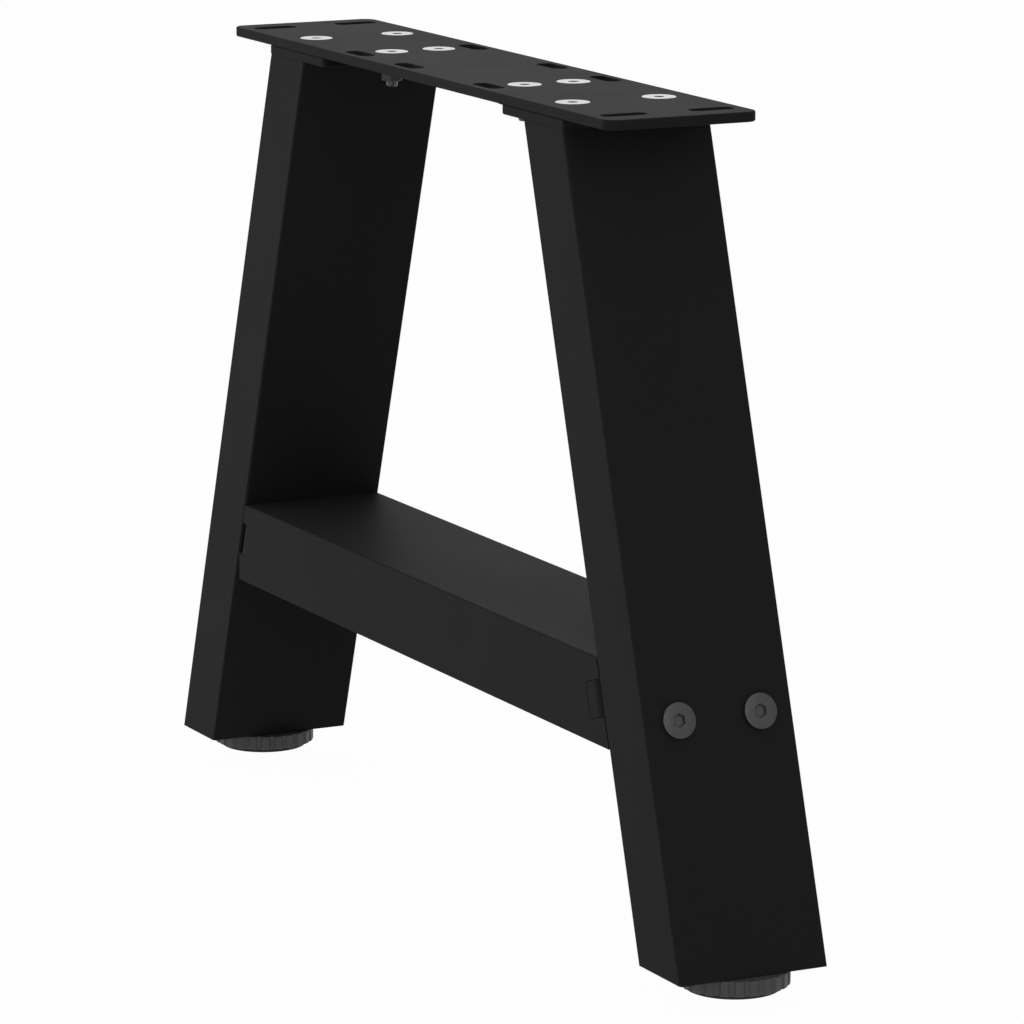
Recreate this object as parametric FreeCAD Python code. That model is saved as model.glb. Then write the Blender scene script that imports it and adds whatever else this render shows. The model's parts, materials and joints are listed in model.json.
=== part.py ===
import FreeCAD, Part
import math
import os

from FreeCAD import Placement, Rotation, Vector

# A-shaped trestle leg for a low table: two leaning steel tubes, a top plate bolted to
# them, a folded crossbar bolted between them, and a screw-in foot under each tube.
# Millimetres and degrees. X runs along the top plate, Y across it and Z up. The origin
# is on the floor under the middle. "Left" is -X, "front" is -Y.

# Legs
tube_width = 80.0            # across the trestle
tube_thick = 40.0            # square to the tube's wide faces
tube_wall = 2.0
tube_corner = 1.5            # outside radius of the tube's four edges
tube_corner_inside = 0.5
tube_lean = 17.5             # from upright
leg_rise = 390.0             # from a tube's bottom end up to its top end
leg_spread = 580.0           # over the outer edges of the tubes' bottom ends

# Head flanges, one welded on each tube
flange_thick = 5.0
flange_length = 66.0         # wide part, from the tube's outer face inwards
flange_end_corner = 0.8      # at the tube's outer face
flange_corner = 3.0          # at the wide part's inner end
tongue_step = 15.5           # from each side of the wide part in to the tongue
tongue_margin = 14.0         # from the inner bolts to the tongue's end
tongue_corner = 8.0

# Top plate
plate_length = 428.0
plate_width = 82.0
plate_thick = 5.0
plate_corner = 7.0
edge_break = 0.5             # chamfer along the plate's and flanges' edges

# Fixing slots in the top plate
slot_length = 24.0
slot_width = 9.0
end_slot_inset = 17.0        # from the plate's end to the end slots' middle
end_slot_margin = 17.5       # from the plate's side to the end slots' middle
side_slot_inset = 8.7        # from the plate's side to the side slots' middle
side_slot_span = 146.0
middle_slot_offset = 16.0    # front one to the left, back one to the right

# Bolts through the top plate
plate_bolt = 6.0             # shank diameter
plate_bolt_length = 18.0     # overall, because the head is sunk
plate_head = 17.0
plate_head_rim = 0.8         # height of the head's upright edge
plate_head_depth = 3.4       # from the head's top to the bottom of its cone
plate_socket = 5.0           # hexagon socket across flats
plate_socket_depth = 2.4
outer_bolt_inset = 22.0      # from the tube's outer face
outer_bolt_margin = 16.5     # from the tube's sides
inner_bolt_inset = 92.0      # from the tube's outer face
inner_bolt_margin = 11.0     # from the tongue's sides
plate_nut = 10.0             # across flats
plate_nut_height = 5.0

# Crossbar
bar_rise = 98.5              # from the tubes' bottom ends to its bottom edges
bar_height = 42.5
bar_wall = 2.0
bar_bend_inside = 1.0
bar_end_gap = 0.4            # between its ends and the tubes

# End brackets in the crossbar
bracket_thick = 3.0
bracket_bend_inside = 3.0
bracket_inset = 1.0          # of the web above the crossbar's bottom edges
ear_reach = 14.3             # from the tube
ear_height = 18.0            # along the tube
ear_rise = 24.0              # its middle above the crossbar's bottom edge, at the tube
ear_corner = 2.0
ear_gap = 0.3                # above and below an ear in the crossbar's notch
ear_end_gap = 0.5            # past the ear's end
short_ear_reach = 7.0        # this one ends against the crossbar's side, welded and ground flush
short_ear_corner = 0.5

# Bolts through the tubes into the brackets
bar_bolt = 8.0
bar_bolt_length = 50.0       # under the head
bar_head = 17.5
bar_head_thick = 2.0
bar_head_chamfer = 0.7
bar_socket = 6.0
bar_socket_depth = 2.0
bar_bolt_margin = 18.0       # from the tube's sides
bar_bolt_rise = 8.0          # above the crossbar's bottom edge, at the tube's inner face
bar_nut = 13.0
bar_nut_height = 6.5

# Feet
knob_diameter = 55.0
knob_height = 7.2
knob_chamfer = 0.3
flute_count = 24
flute_radius = 2.0
flute_depth = 1.0
knob_gap = 0.3               # under the tube's end, screwed right in
pad_diameter = 46.0
pad_proud = 2.5              # below the knob
pad_recess = 1.2             # up into the knob
pad_gap = 0.1
stud = 10.0
stud_rise = 28.0             # above the tube's bottom end
stud_head = 15.0             # hexagon across flats, moulded into the knob
stud_head_height = 4.0
foot_plate_thick = 4.0
foot_nut = 17.0
foot_nut_height = 8.0

# Clearances
bolt_hole_gap = 0.4          # all round a bolt in a plain hole
head_gap = 0.3               # all round a sunk head
thread_gap = 0.05            # all round a thread in its nut
tip_chamfer = 0.5            # at the end of a bolt or stud
nut_chamfer = 0.9            # taken off a nut's points, measured along its radius

# Worked out from the values above
lean = math.radians(tube_lean)
tube_level = tube_thick / math.cos(lean)
tube_bottom = pad_proud + knob_height + knob_gap
tube_top = tube_bottom + leg_rise
flange_top = tube_top + flange_thick
plate_top = flange_top + plate_thick
leg_top_x = leg_spread / 2 - leg_rise * math.tan(lean)
foot_x = leg_spread / 2 - tube_level / 2
tongue_width = tube_width - 2 * tongue_step
outer_bolt_x = leg_top_x - outer_bolt_inset
outer_bolt_y = tube_width / 2 - outer_bolt_margin
inner_bolt_x = leg_top_x - inner_bolt_inset
inner_bolt_y = tongue_width / 2 - inner_bolt_margin
bar_bolt_y = tube_width / 2 - bar_bolt_margin
bar_bottom = tube_bottom + bar_rise
bar_top = bar_bottom + bar_height
margin = 5.0                 # how far a cutter runs past what it cuts

# A right-hand leg's own frame: origin at the outer edge of its bottom end, X out of the
# outer wide face, Y across the trestle, Z up along the tube.
LEG = Placement(Vector(leg_spread / 2, 0, tube_bottom), Rotation(Vector(0, 1, 0), -tube_lean))


def up_the_leg(height):
    """Distance along the tube of the point on its inner face at this height."""
    return (height - tube_bottom + tube_thick * math.sin(lean)) / math.cos(lean)


def inner_face_x(height):
    """X of the right-hand tube's inner face at this height."""
    return leg_spread / 2 - (height - tube_bottom) * math.tan(lean) - tube_level


def on_leg(shape):
    """The shape moved from a leg's own frame to its place on the right-hand leg."""
    placed = shape.copy()
    placed.Placement = LEG.multiply(placed.Placement)
    return placed


def mirrored(shape):
    """The left-hand twin of a right-hand piece."""
    return shape.mirror(Vector(0, 0, 0), Vector(1, 0, 0))


def half_turned(shape):
    """The same piece at the other end of the trestle, turned half round about Z."""
    turned = shape.copy()
    turned.rotate(Vector(0, 0, 0), Vector(0, 0, 1), 180)
    return turned


def box(low, high):
    """Box between two opposite corners."""
    size = Vector(*high) - Vector(*low)
    return Part.makeBox(size.x, size.y, size.z, Vector(*low))


def closed_face(points):
    """Flat face inside a closed outline of straight edges."""
    return Part.Face(Part.makePolygon([*points, points[0]]))


def rounded_face(x0, x1, y0, y1, radius, end_radius=None):
    """Rectangle with rounded corners in the XY plane; the two at x1 can have their own radius."""
    far = radius if end_radius is None else end_radius
    corners = [(x0, y0, 1, 1, radius), (x1, y0, -1, 1, far), (x1, y1, -1, -1, far), (x0, y1, 1, -1, radius)]
    ends, arcs = [], []
    for x, y, inx, iny, size in corners:
        mid = size * (1 - math.sqrt(0.5))
        along = Vector(x + inx * size, y, 0)
        across = Vector(x, y + iny * size, 0)
        first, last = (across, along) if inx == iny else (along, across)
        arcs.append(Part.Arc(first, Vector(x + inx * mid, y + iny * mid, 0), last).toShape())
        ends.append((first, last))
    edges = []
    for i, arc in enumerate(arcs):
        edges.append(arc)
        start, finish = ends[i][1], ends[(i + 1) % 4][0]
        if start.distanceToPoint(finish) > 1e-6:
            edges.append(Part.makeLine(start, finish))
    return Part.Face(Part.Wire(Part.__sortEdges__(edges)))


def rounded_block(x0, x1, y0, y1, z0, z1, radius, end_radius=None):
    """Upright block with rounded corners; the two at x1 can have their own radius."""
    face = rounded_face(x0, x1, y0, y1, radius, end_radius)
    face.translate(Vector(0, 0, z0))
    return face.extrude(Vector(0, 0, z1 - z0))


def revolved(points):
    """Solid turned about the Z axis from an outline of (radius, height) points."""
    face = closed_face([Vector(r, 0, z) for r, z in points])
    return face.revolve(Vector(0, 0, 0), Vector(0, 0, 1), 360)


def hexagon(across_flats, z0, z1, first_point=30):
    """Upright hexagonal prism, two flats square to X unless its first point lies elsewhere."""
    radius = across_flats / math.sqrt(3)
    turns = [math.radians(first_point + 60 * i) for i in range(6)]
    face = closed_face([Vector(radius * math.cos(t), radius * math.sin(t), z0) for t in turns])
    return face.extrude(Vector(0, 0, z1 - z0))


def hex_nut(across_flats, height, thread):
    """Nut standing on Z = 0, its points chamfered at both ends."""
    tip = across_flats / math.sqrt(3)
    drop = nut_chamfer * math.tan(math.radians(30))
    turned = revolved([(0, 0), (tip - nut_chamfer, 0), (tip, drop), (tip, height - drop),
                       (tip - nut_chamfer, height), (0, height)])
    bore = Part.makeCylinder(thread / 2 + thread_gap, height + 2 * margin, Vector(0, 0, -margin))
    return hexagon(across_flats, 0, height).common(turned).cut(bore)


def channel(width, depth, wall, bend_inside, length):
    """Folded channel along Z: its web's outer face is on X = 0 and its sides run to -X."""
    half, inner = width / 2, width / 2 - wall
    bend = bend_inside + wall
    mid = 1 - math.sqrt(0.5)

    def side(sign):
        """Points of one side, from the outer free edge to the outer bend's end, and inside."""
        outer = [Vector(-depth, sign * half, 0), Vector(-bend, sign * half, 0),
                 Vector(-bend * mid, sign * (half - bend * mid), 0), Vector(0, sign * (half - bend), 0)]
        inside = [Vector(-depth, sign * inner, 0), Vector(-bend, sign * inner, 0),
                  Vector(-wall - bend_inside * mid, sign * (inner - bend_inside * mid), 0),
                  Vector(-wall, sign * (half - bend), 0)]
        return outer, inside

    edges = []
    for sign in (-1, 1):
        outer, inside = side(sign)
        for free, first, middle, last in (outer, inside):
            edges.append(Part.makeLine(free, first))
            edges.append(Part.Arc(first, middle, last).toShape())
        edges.append(Part.makeLine(outer[0], inside[0]))
    for x in (0, -wall):
        edges.append(Part.makeLine(Vector(x, -(half - bend), 0), Vector(x, half - bend, 0)))
    face = Part.Face(Part.Wire(Part.__sortEdges__(edges)))
    return face.extrude(Vector(0, 0, length))


def break_edges(plate, size):
    """Plate with its top and bottom outlines chamfered."""
    level = [edge for edge in plate.Edges if edge.BoundBox.ZLength < plate.BoundBox.ZLength / 2]
    return plate.makeChamfer(size, level)


def tube_prism(inset, radius):
    """Solid bar with the tube's section less an inset all round, leaning, ends cut level."""
    spare = tube_thick * math.tan(lean) + margin
    bar = rounded_block(-tube_thick + inset, -inset, inset - tube_width / 2, tube_width / 2 - inset,
                        -spare, leg_rise / math.cos(lean) + spare, radius)
    reach = leg_spread
    slab = box((-reach, -reach, tube_bottom), (reach, reach, tube_top))
    return on_leg(bar).common(slab)


def leg_tube():
    """Rectangular tube with the crossbar bolts' holes through both wide walls."""
    outer = tube_prism(0, tube_corner)
    tube = outer.cut(tube_prism(tube_wall, tube_corner_inside))
    for hole in bar_bolt_holes(margin, -tube_thick - margin):
        tube = tube.cut(hole)
    return tube


def bar_bolt_places():
    """Where the crossbar's bolts cross the leg's outer face, in the leg's own frame."""
    up = up_the_leg(bar_bottom + bar_bolt_rise)
    return [Vector(0, side * bar_bolt_y, up) for side in (-1, 1)]


def bar_bolt_holes(start, stop):
    """Cutters on the bolts' axes, from one depth in the leg's own frame to another."""
    cutters = []
    for place in bar_bolt_places():
        foot = Vector(stop, place.y, place.z)
        cylinder = Part.makeCylinder(bar_bolt / 2 + bolt_hole_gap, start - stop, foot, Vector(1, 0, 0))
        cutters.append(on_leg(cylinder))
    return cutters


def head_flange():
    """Plate welded across the tube's top, with a tongue that runs in under the top plate."""
    wide_end = leg_top_x - flange_length
    tongue_end = inner_bolt_x - tongue_margin
    wide = rounded_block(wide_end, leg_top_x, -tube_width / 2, tube_width / 2,
                         tube_top, flange_top, flange_corner, flange_end_corner)
    tongue = rounded_block(tongue_end, wide_end + flange_length / 2, -tongue_width / 2,
                           tongue_width / 2, tube_top, flange_top, tongue_corner)
    flange = break_edges(wide.fuse(tongue).removeSplitter(), edge_break)
    for x, y in plate_bolt_places():
        radius = plate_bolt / 2 + bolt_hole_gap
        flange = flange.cut(Part.makeCylinder(radius, flange_thick + 2 * margin,
                                              Vector(x, y, tube_top - margin)))
    return flange


def plate_bolt_places():
    """The four bolts of the right-hand flange: outer front, outer back, inner front, inner back."""
    return [(x, side * y) for x, y in ((outer_bolt_x, outer_bolt_y), (inner_bolt_x, inner_bolt_y))
            for side in (-1, 1)]


def sunk_head_outline(gap, rim, stop):
    """Outline of the bolt's sunk head and shank, wider by a gap, from height rim down to stop."""
    head, shank = plate_head / 2 + gap, plate_bolt / 2 + gap
    return [(0, rim), (head, rim), (head, -plate_head_rim), (shank, -plate_head_depth),
            (shank, stop), (0, stop)]


def plate_bolt_solid():
    """Flat-head bolt with a hexagon socket, its head's top on Z = 0."""
    end = -plate_bolt_length
    outline = sunk_head_outline(0, 0, end)
    outline[4:5] = [(plate_bolt / 2, end + tip_chamfer), (plate_bolt / 2 - tip_chamfer, end)]
    return revolved(outline).cut(hexagon(plate_socket, -plate_socket_depth, margin))


def slot_cutter(x, y, across):
    """Slot with round ends, along X, or along Y where it runs across the plate."""
    half_length, half_width = slot_length / 2, slot_width / 2
    slot = rounded_block(-half_length, half_length, -half_width, half_width,
                         flange_top - margin, plate_top + margin, half_width)
    if across:
        slot.rotate(Vector(0, 0, 0), Vector(0, 0, 1), 90)
    slot.translate(Vector(x, y, 0))
    return slot


def plate_slots():
    """Two slots across each end, and three along each side."""
    end_x, end_y = plate_length / 2 - end_slot_inset, plate_width / 2 - end_slot_margin
    side_y = plate_width / 2 - side_slot_inset
    slots = []
    for sx in (-1, 1):
        for sy in (-1, 1):
            slots.append(slot_cutter(sx * end_x, sy * end_y, True))
            slots.append(slot_cutter(sx * side_slot_span / 2, sy * side_y, False))
    for side in (-1, 1):
        slots.append(slot_cutter(side * middle_slot_offset, side * side_y, False))
    return slots


def top_plate():
    """Plate with its fixing slots and the sunk seats of the bolts."""
    plate = rounded_block(-plate_length / 2, plate_length / 2, -plate_width / 2, plate_width / 2,
                          flange_top, plate_top, plate_corner)
    plate = break_edges(plate, edge_break)
    for slot in plate_slots():
        plate = plate.cut(slot)
    for x, y in plate_bolt_places():
        for side in (-1, 1):
            seat = revolved(sunk_head_outline(head_gap, margin, -plate_thick - margin))
            seat.translate(Vector(side * x, y, plate_top))
            plate = plate.cut(seat)
    return plate


def ear_block(side, reach, corner, gap):
    """Block through one ear, from the crossbar's middle to its front (-1) or back (1)."""
    middle = up_the_leg(bar_bottom + ear_rise)
    half = ear_height / 2 + gap
    face = rounded_face(-tube_thick - reach, -tube_thick + 2 * corner + margin, middle - half, middle + half,
                        corner)
    face.rotate(Vector(0, 0, 0), Vector(1, 0, 0), 90)
    return on_leg(face.extrude(Vector(0, side * tube_width, 0)))


def ear_blocks(gap, end_gap):
    """Outlines of the right bracket's two ears with gaps round them: long in front, short at the back."""
    return [ear_block(-1, ear_reach + end_gap, ear_corner + gap, gap),
            ear_block(1, short_ear_reach, short_ear_corner, gap)]


def end_bracket():
    """Folded bracket: a web on the tube's inner face, and an ear in a notch of each crossbar side."""
    up = up_the_leg(bar_bottom)
    height = up_the_leg(bar_top) - up
    half = tube_width / 2 - bracket_thick - bracket_bend_inside
    web = on_leg(box((-tube_thick - bracket_thick, -half, up - margin),
                     (-tube_thick, half, up + height + margin)))
    reach = leg_spread
    web = web.common(box((-reach, -reach, bar_bottom + bracket_inset),
                         (reach, reach, bar_top - bar_wall)))
    ears = channel(tube_width, ear_reach, bracket_thick, bracket_bend_inside, height)
    ears.translate(Vector(-tube_thick, 0, up))
    ears = on_leg(ears)
    bracket = web.fuse([ears.common(block) for block in ear_blocks(0, 0)]).removeSplitter()
    for hole in bar_bolt_holes(-tube_thick + margin, -tube_thick - bracket_thick - margin):
        bracket = bracket.cut(hole)
    return bracket


def end_relief():
    """Cutter that squares off one side's end below its notch, at the right back."""
    notch_up = up_the_leg(bar_bottom + ear_rise) - ear_height / 2 - ear_gap
    notch_low = tube_bottom + notch_up * math.cos(lean) - tube_thick * math.sin(lean)
    edge = inner_face_x(notch_low) - bar_end_gap
    return box((edge, 0, bar_bottom - margin), (edge + tube_thick, tube_width, notch_low))


def crossbar():
    """Sheet folded to an upside-down channel, with ends cut to the lean and notched for the ears."""
    length = leg_spread
    bar = channel(tube_width, bar_height, bar_wall, bar_bend_inside, length)
    bar.rotate(Vector(0, 0, 0), Vector(1, 0, 1), 180)
    bar.translate(Vector(-length / 2, 0, bar_top))
    low, high = bar_bottom - margin, bar_top + margin
    low_x, high_x = inner_face_x(low) - bar_end_gap, inner_face_x(high) - bar_end_gap
    side = closed_face([Vector(-low_x, -tube_width, low), Vector(low_x, -tube_width, low),
                        Vector(high_x, -tube_width, high), Vector(-high_x, -tube_width, high)])
    bar = bar.common(side.extrude(Vector(0, 2 * tube_width, 0)))
    for cutter in [*ear_blocks(ear_gap, ear_end_gap), end_relief()]:
        bar = bar.cut(cutter).cut(half_turned(cutter))
    return bar


def bar_bolt_solid():
    """Flat-head bolt with a hexagon socket, its head standing on Z = 0 and its shank below."""
    head, shank = bar_head / 2, bar_bolt / 2
    top, end = bar_head_thick, -bar_bolt_length
    bolt = revolved([(0, top), (head - bar_head_chamfer, top), (head, top - bar_head_chamfer), (head, 0),
                     (shank, 0), (shank, end + tip_chamfer), (shank - tip_chamfer, end), (0, end)])
    return bolt.cut(hexagon(bar_socket, top - bar_socket_depth, top + margin, 0))


def across_leg(shape, depth, place):
    """An upright piece laid on a bolt's axis in the right-hand leg, its Z = 0 at this depth."""
    laid = shape.copy()
    turn = Placement(Vector(depth, place.y, place.z), Rotation(Vector(0, 1, 0), 90))
    laid.Placement = turn.multiply(laid.Placement)
    return on_leg(laid)


def foot_plate():
    """Plate welded in the tube's bottom end, with the stud's hole."""
    reach = leg_spread
    slab = box((-reach, -reach, tube_bottom), (reach, reach, tube_bottom + foot_plate_thick))
    plate = tube_prism(tube_wall, tube_corner_inside).common(slab)
    hole = Part.makeCylinder(stud / 2 + bolt_hole_gap, foot_plate_thick + 2 * margin,
                             Vector(foot_x, 0, tube_bottom - margin))
    return plate.cut(hole)


def foot_knob():
    """Round knob with a fluted rim, a recess for the pad and a pocket for the stud's head."""
    radius, low, high = knob_diameter / 2, pad_proud, tube_bottom - knob_gap
    pad = pad_diameter / 2 + pad_gap
    ceiling = low + pad_recess
    knob = revolved([(0, ceiling), (pad, ceiling), (pad, low), (radius - knob_chamfer, low),
                     (radius, low + knob_chamfer), (radius, high - knob_chamfer),
                     (radius - knob_chamfer, high), (0, high)])
    flute = Part.makeCylinder(flute_radius, high + 2 * margin,
                              Vector(radius + flute_radius - flute_depth, 0, -margin))
    flutes = []
    for i in range(flute_count):
        turned = flute.copy()
        turned.rotate(Vector(0, 0, 0), Vector(0, 0, 1), 360 * i / flute_count)
        flutes.append(turned)
    knob = knob.cut(Part.makeCompound(flutes))
    knob = knob.cut(hexagon(stud_head, ceiling - margin, ceiling + stud_head_height))
    return knob.cut(Part.makeCylinder(stud / 2, high + 2 * margin, Vector(0, 0, -margin)))


def foot_stud():
    """Threaded stud with the hexagon head that turns it with the knob."""
    head_low = pad_proud + pad_recess
    head = hexagon(stud_head, head_low, head_low + stud_head_height)
    top = tube_bottom + stud_rise
    shank = revolved([(0, head_low), (stud / 2, head_low), (stud / 2, top - tip_chamfer),
                      (stud / 2 - tip_chamfer, top), (0, top)])
    return head.fuse(shank).removeSplitter()


def foot_pad():
    """Disc set in the knob's underside."""
    return Part.makeCylinder(pad_diameter / 2, pad_proud + pad_recess)


def right_hand_nodes():
    """Every piece that each leg has, in its place on the right-hand leg."""
    nodes = {
        "leg_tube": leg_tube(),
        "head_flange": head_flange(),
        "bar_bracket": end_bracket(),
        "foot_plate": foot_plate(),
    }
    foot_pieces = {
        "foot_nut": hex_nut(foot_nut, foot_nut_height, stud),
        "foot_knob": foot_knob(),
        "foot_stud": foot_stud(),
        "foot_pad": foot_pad(),
    }
    foot_pieces["foot_nut"].translate(Vector(0, 0, tube_bottom + foot_plate_thick))
    for name, shape in foot_pieces.items():
        shape.translate(Vector(foot_x, 0, 0))
        nodes[name] = shape
    places = zip(("outer_front", "outer_back", "inner_front", "inner_back"), plate_bolt_places())
    for where, (x, y) in places:
        bolt, nut = plate_bolt_solid(), hex_nut(plate_nut, plate_nut_height, plate_bolt)
        bolt.translate(Vector(x, y, plate_top))
        nut.translate(Vector(x, y, tube_top - plate_nut_height))
        nodes["plate_bolt_" + where] = bolt
        nodes["plate_nut_" + where] = nut
    for where, place in zip(("front", "back"), bar_bolt_places()):
        nut_depth = -tube_thick - bracket_thick - bar_nut_height
        nodes["bar_bolt_" + where] = across_leg(bar_bolt_solid(), 0, place)
        nodes["bar_nut_" + where] = across_leg(hex_nut(bar_nut, bar_nut_height, bar_bolt), nut_depth, place)
    return nodes


def main():
    os.makedirs("parts", exist_ok=True)
    nodes = {"top_plate": top_plate(), "crossbar": crossbar()}
    for name, shape in right_hand_nodes().items():
        nodes["right_" + name] = shape
        nodes["left_" + name] = half_turned(shape) if name == "bar_bracket" else mirrored(shape)
    for name, shape in nodes.items():
        shape.exportStep(f"parts/{name}.step")


main()
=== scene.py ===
import json
import math

import bmesh
import bpy
from mathutils import Matrix, Vector


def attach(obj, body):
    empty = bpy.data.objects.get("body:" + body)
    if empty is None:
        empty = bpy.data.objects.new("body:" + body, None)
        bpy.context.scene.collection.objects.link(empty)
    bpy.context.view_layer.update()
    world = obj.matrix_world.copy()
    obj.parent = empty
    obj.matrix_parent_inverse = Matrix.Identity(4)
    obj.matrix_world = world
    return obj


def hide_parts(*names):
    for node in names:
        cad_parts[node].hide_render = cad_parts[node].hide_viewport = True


# Looks of a low steel trestle leg: black powder coat on the tubes, plates and folded
# parts, bright zinc bolts in the top plate, dark bolts through the tubes, and fluted
# nylon feet. The trestle's lengths are written in millimetres and multiplied by MM. Those of
# the camera, floor and lights are in metres. Angles are in degrees.

MM = 0.001

# Camera
VIEW_AZIMUTH = 63.02
VIEW_ELEVATION = 11.54
VIEW_ROLL = 0.155
VIEW_DISTANCE = 2.858
VIEW_LENS = 196.9
VIEW_AIM = Vector((0.0125, 0.0120, 0.1821))
VIEW_FAR = 100               # nothing further off than this is shown

# Floor and light
FOOT_TRAVEL = 10 * MM        # the floor lies this far down, where the feet are at their lowest
FLOOR_SIZE = 60.0
FLOOR_COLOUR = "#E8E8E6"
FLOOR_SHOW = 0.02            # share of the floor's own shading that the camera sees over white
WORLD_LEVEL = 0.4
LIGHT_AIM = Vector((0, 0, 0.2))
LIGHTS = (("overhead", (0.3, -0.4, 2.6), 2.4, 14),       # name, place, size and power
          ("left front", (-1.6, -2.1, 0.9), 1.8, 18),
          ("right", (2.6, -0.6, 1.2), 1.8, 13))

# Colours
COAT_COLOUR = "#1B1B1B"
COAT_PALE_COLOUR = "#1E1E1E"
ZINC_COLOUR = "#D6D7D8"
ZINC_DULL_COLOUR = "#C6C8CA"
# painted shade: the dark grey of the plate bolts' threads, sockets and points stands for the shade in them
SOCKET_THREAD_SHADE_COLOUR = "#434447"
# painted shade: the plate nuts' grey is darker than their finish, to stand for the shadow of the plate
PHOSPHATE_SHADE_COLOUR = "#363636"
PHOSPHATE_SHADE_PALE_COLOUR = "#3E3D3B"
OXIDE_COLOUR = "#494949"
OXIDE_WORN_COLOUR = "#444343"
NYLON_COLOUR = "#2A2A2A"
NYLON_PALE_COLOUR = "#313131"
RUBBER_COLOUR = "#1B1B1B"
RUBBER_DUST_COLOUR = "#262524"

# Legs and crossbar, where the bolts and welds go
TUBE_LEAN = 17.5             # from upright
TUBE_WIDTH = 80.0
TUBE_THICK = 40.0
TUBE_BOTTOM = 10.0
LEG_SPREAD = 580.0
LEG_RISE = 390.0
PLATE_TOP = 410.0
PLATE_BOLT_PLACES = ((22.0, 23.5), (92.0, 13.5))     # in from the tube's top edge, and from the middle
BAR_BOTTOM = 108.5
BAR_BOLT_RISE = 8.0          # above the crossbar's bottom, at the tube's inner face
BAR_BOLT_SIDE = 22.0         # from the middle
EAR_RISE = 24.0              # of its middle above the crossbar's bottom, at the tube
EAR_HEIGHT = 18.0
LONG_EAR = (14.3, 2.0)       # reach from the tube, and corner
SHORT_EAR = (7.0, 0.5)
PAD_TOP = 3.7                # where a stud begins, over the floor

# Worked out from the values above
LEAN = math.radians(TUBE_LEAN)
TUBE_LEVEL = TUBE_THICK / math.cos(LEAN)                  # the tube's thickness, measured level
LEG_TOP_X = LEG_SPREAD / 2 - LEG_RISE * math.tan(LEAN)    # outer edge of a tube's top

# Crossbar as the solid has it, and as it is shown: folded tighter, its ends nearer to the tubes
BAR_TOP = 151.0
BAR_BEND = 3.0
SHOWN_BAR_BEND = 1.2
BAR_END_GAP = 0.4
SHOWN_BAR_END_GAP = 0.1
NEAR = 0.02                  # how far a corner of the solid's mesh may lie from its true surface
SAME_CORNER = 0.001          # its corners nearer together than this are one

# Threads as crest radius, pitch, where the thread starts below the bolt's own zero, and its length
THREAD_DEPTH = 0.4           # as a share of the pitch, down to the root's flat
THREAD_ROWS = 6              # rows of points in one pitch
THREAD_COLUMNS = 24
MERGE_DISTANCE = 0.002       # a thread's points nearer together than this become one
PLATE_THREAD = (3.0, 1.0, 4.1, 11.0)
BAR_THREAD = (4.0, 1.25, 19.8, 30.2)
STUD_THREAD = (5.0, 1.5, 6.3, 28.0)

# Turned parts of the bolts as rows of (radius, height, kind), from the socket's floor outwards and
# down. A hex row's radius is half its width across flats. What lies above a hex or bare row,
# the sockets and the plate bolts' plain points, gets the second finish, on the plate bolts a dark grey of
# painted shade.
HEAD_COLUMNS = 48
CRISP_ANGLE = 32             # edges of bolts and beads that turn by more than this stay crisp
PLATE_HEAD = ((0, -2.4, "round"), (2.5, -2.4, "hex"), (2.5, -0.15, "hex"), (2.9, 0, "round"),
              (8.3, 0, "round"), (8.5, -0.2, "round"), (8.5, -0.8, "round"), (3.0, -3.4, "round"),
              (3.0, -4.3, "round"), (0, -4.3, "round"))
PLATE_POINT = ((0, -14.9, "bare"), (3.0, -14.9, "bare"), (3.0, -17.5, "bare"), (2.5, -18.0, "bare"),
               (0, -18.0, "bare"))
BAR_HEAD = ((0, 0.45, "round"), (2.7, 0.45, "hex"), (2.7, 1.4, "hex"), (3.2, 2.0, "hex"),
            (8.3, 2.0, "round"), (8.65, 1.8, "round"), (8.75, 1.5, "round"), (8.75, 0, "round"),
            (4.0, 0, "round"), (4.0, -20, "round"), (0, -20, "round"))
STUD_HEAD = ((0, 0, "round"), (7.5, 0, "hex"), (7.5, -4.0, "hex"), (5.0, -4.0, "round"),
             (5.0, -6.5, "round"), (0, -6.5, "round"))

# Weld beads as radius and ripple: behind the crossbar's ears, under the flanges' tongues, and the
# seam round the rest of each tube's top, which is ground flush in the flange's broken edge
EAR_BEAD = (1.5, 1.3)
EAR_BEAD_DEPTH = 37.7        # of the bead's middle, from the trestle's middle plane
EAR_BEAD_START = 1.5         # from the tube
TONGUE_BEAD = (2.0, 1.6)
TONGUE_BEAD_SINK = 0.4       # of the bead's middle, into the tube and under its top
TONGUE_BEAD_MARGIN = 3.0     # at both ends, from the tube's sides
SEAM_BEAD = (0.3, 1.6)
SEAM_SINK = 0.28             # of the seam's middle, in from the faces
SEAM_CORNER = 1.0            # cut off the seam's path where it turns, and left free at its ends
BEAD_STEPS = 4               # rings of points in one ripple
BEAD_SIDES = 10
BEAD_SWELL = 0.08            # of a ripple, as a share of the radius


def linear(code):
    """Linear colour with full alpha from an sRGB hex code."""
    levels = [int(code[i:i + 2], 16) / 255 for i in (1, 3, 5)]
    return [*(s / 12.92 if s <= 0.04045 else ((s + 0.055) / 1.055) ** 2.4 for s in levels), 1.0]


def add_node(tree, kind, settings=None, inputs=None):
    """New node with its settings, and its inputs set to values or linked from sockets."""
    node = tree.nodes.new(kind)
    for name, value in (settings or {}).items():
        setattr(node, name, value)
    for name, value in (inputs or {}).items():
        if isinstance(value, bpy.types.NodeSocket):
            tree.links.new(value, node.inputs[name])
        else:
            node.inputs[name].default_value = value
    return node


def new_material(name):
    """Empty node material and its tree."""
    material = bpy.data.materials.new(name)
    material.use_nodes = True
    material.node_tree.nodes.clear()
    return material, material.node_tree


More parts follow.
